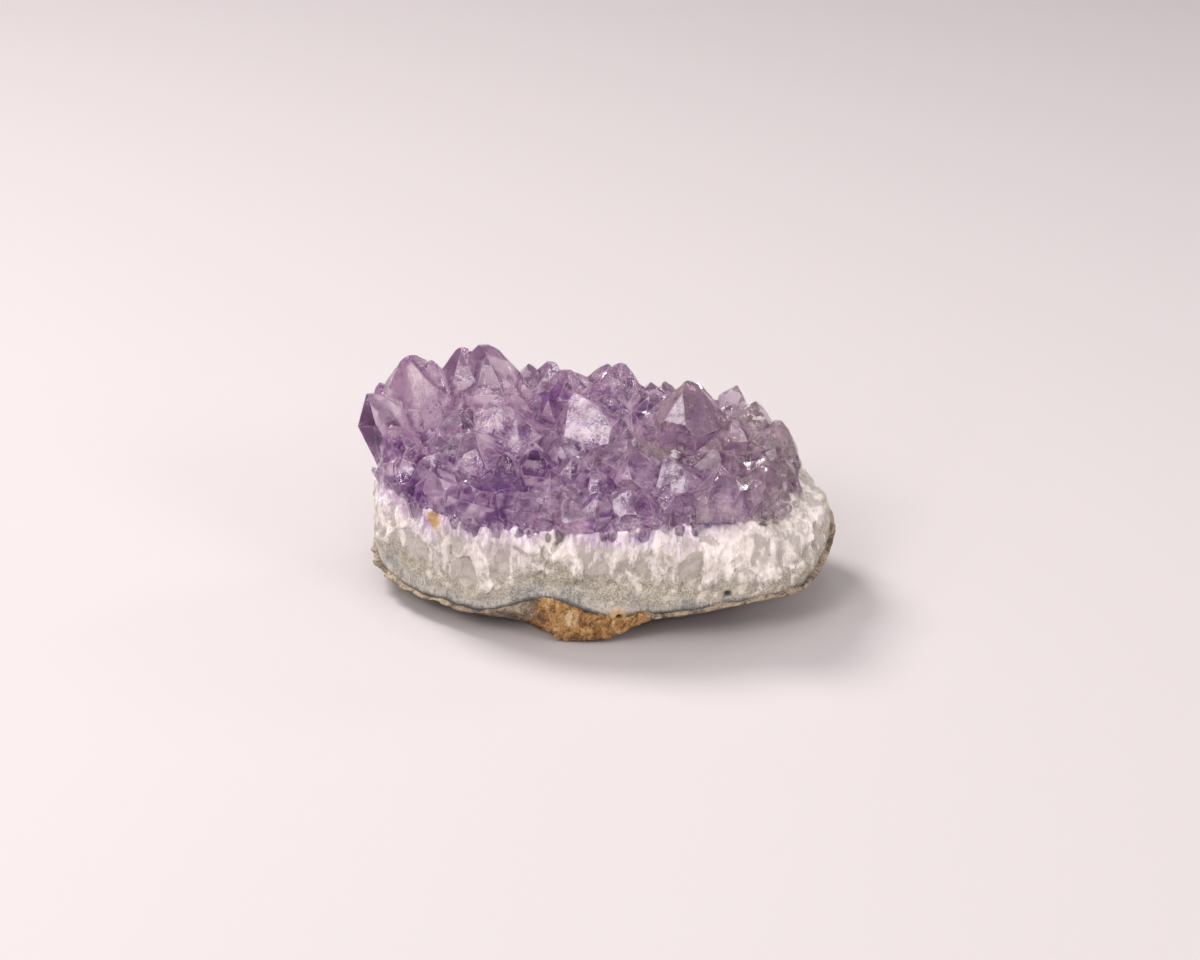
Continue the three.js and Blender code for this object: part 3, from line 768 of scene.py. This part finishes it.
def make_veils(mesh):
    """Thin flakes on the wisps' points, as one piece inside the crystals."""
    draw = random.Random(31)
    points = veil_points(mesh, draw)
    carrier = mesh_from("veil_points", [spot for spot, _ in points], [])
    attribute = carrier.attributes.new("lean", "FLOAT_VECTOR", "POINT")
    attribute.data.foreach_set("vector", np.array([lean for _, lean in points], np.float32).ravel())
    growth = Growth("veil flakes", Narrowest="Float", Widest="Float", Seed="Int")
    given = growth.given
    flake = growth.node("GeometryNodeMeshUVSphere", {"Radius": 1.0, "Segments": 4, "Rings": 2}).outputs["Mesh"]
    flake = growth.node("GeometryNodeTransform", {"Geometry": flake, "Scale": (1, 0.7, 0.12)}).outputs[0]
    lean = growth.node("GeometryNodeInputNamedAttribute", {"Name": "lean"}, data_type="FLOAT_VECTOR").outputs[0]
    stray = growth.random((-0.35, -0.35, -0.35), (0.35, 0.35, 0.35), given["Seed"], "FLOAT_VECTOR")
    turned = growth.node("FunctionNodeAlignRotationToVector", {
        "Vector": growth.vector("ADD", lean, stray)}, axis="Z").outputs[0]
    placed = growth.node("GeometryNodeInstanceOnPoints", {
        "Points": given["Geometry"], "Instance": flake, "Rotation": turned,
        "Scale": growth.random(given["Narrowest"], given["Widest"], 7)}).outputs[0]
    veil = veil_finish()
    growth.finish(placed, veil)
    veils = growth.grow(new_object("veil_points", carrier), Narrowest=0.1 * MM, Widest=0.3 * MM, Seed=6)
    veils.shade_flat()
    print("NOTE veil triangles", len(veils.polygons))
    return finish_piece("sealed_veils", veils, "amethyst_crystals", veil)


# ---------------------------------------------------------------- studio

def make_floor():
    """A pale sweep: flat under the chunk, curving up far behind it."""
    profile = [(-0.7, 0.0), (0.55, 0.0)]
    for step in range(1, 13):
        turn = step / 12 * math.pi / 2
        profile.append((0.55 + 0.35 * math.sin(turn), 0.35 * (1 - math.cos(turn))))
    profile.append((0.9, 1.4))
    vertices, faces = [], []
    for y, z in profile:
        vertices += [(-1.6, y, z), (1.6, y, z)]
    for k in range(len(profile) - 1):
        faces.append((2 * k, 2 * k + 1, 2 * k + 3, 2 * k + 2))
    floor = new_object("studio_floor", mesh_from("studio_floor", vertices, faces))
    floor.data.materials.append(paper_finish())


def make_light(name, place, target, size, power, color):
    data = bpy.data.lights.new(name, "AREA")
    data.shape = "DISK"
    data.size = size
    data.energy = power
    data.color = color
    lamp = new_object(name, data)
    lamp.location = place
    lamp.rotation_euler = (Vector(target) - Vector(place)).to_track_quat("-Z", "Y").to_euler()
    return lamp


def make_studio():
    make_floor()
    make_light("key_softbox", (-0.5, 0.45, 0.8), (0, 0, 0.02), 0.35, 10.5, (1, 0.965, 0.955))
    make_light("front_softbox", (-0.55, -0.7, 0.8), (0, 0, 0.02), 0.5, 5.4, (1, 0.97, 0.955))
    make_light("side_softbox", (0.75, -0.6, 0.5), (0, 0, 0.02), 0.35, 2.2, (1, 0.97, 0.95))
    make_light("rim_softbox", (0.8, 0.5, 0.5), (0, 0, 0.02), 0.25, 1.2, (1, 0.98, 0.98))
    for place in ((0.1, -0.5, 1.1), (-0.8, -0.3, 0.7), (0.6, -0.6, 0.8), (0, 0.45, 1.1), (-0.4, -0.7, 0.3),
                  (0.2, -0.85, 0.5), (-0.75, -0.65, 0.45)):
        make_light("glint_softbox", place, (0, 0, 0.02), 0.08, 0.45, (1, 0.98, 0.97))
    world = bpy.data.worlds.new("studio")
    SCENE.world = world
    world.use_nodes = True
    tree = world.node_tree
    parts = tree.nodes.new("ShaderNodeSeparateXYZ")
    tree.links.new(tree.nodes.new("ShaderNodeTexCoord").outputs["Generated"], parts.inputs[0])
    ramp = tree.nodes.new("ShaderNodeValToRGB")
    ramp.color_ramp.elements[0].color = (0.09, 0.07, 0.075, 1)
    ramp.color_ramp.elements[0].position = 0.15
    ramp.color_ramp.elements[1].position = 0.8
    ramp.color_ramp.elements[1].color = (0.9, 0.86, 0.87, 1)
    tree.links.new(parts.outputs["Z"], ramp.inputs["Fac"])
    tree.links.new(ramp.outputs["Color"], tree.nodes["Background"].inputs["Color"])
    data = bpy.data.cameras.new("camera")
    data.lens = VIEW_LENS
    data.sensor_width = 36
    camera = new_object("camera", data)
    towards = Vector((0, math.cos(VIEW_ELEVATION), -math.sin(VIEW_ELEVATION)))
    camera.location = AIM - towards * VIEW_DISTANCE
    camera.rotation_euler = towards.to_track_quat("-Z", "Y").to_euler()
    SCENE.camera = camera
    SCENE.view_settings.view_transform = "Standard"
    SCENE.cycles.max_bounces = 28
    SCENE.cycles.transmission_bounces = 28
    SCENE.cycles.glossy_bounces = 12


make_crust()
make_wall()
make_crystals()
make_studio()
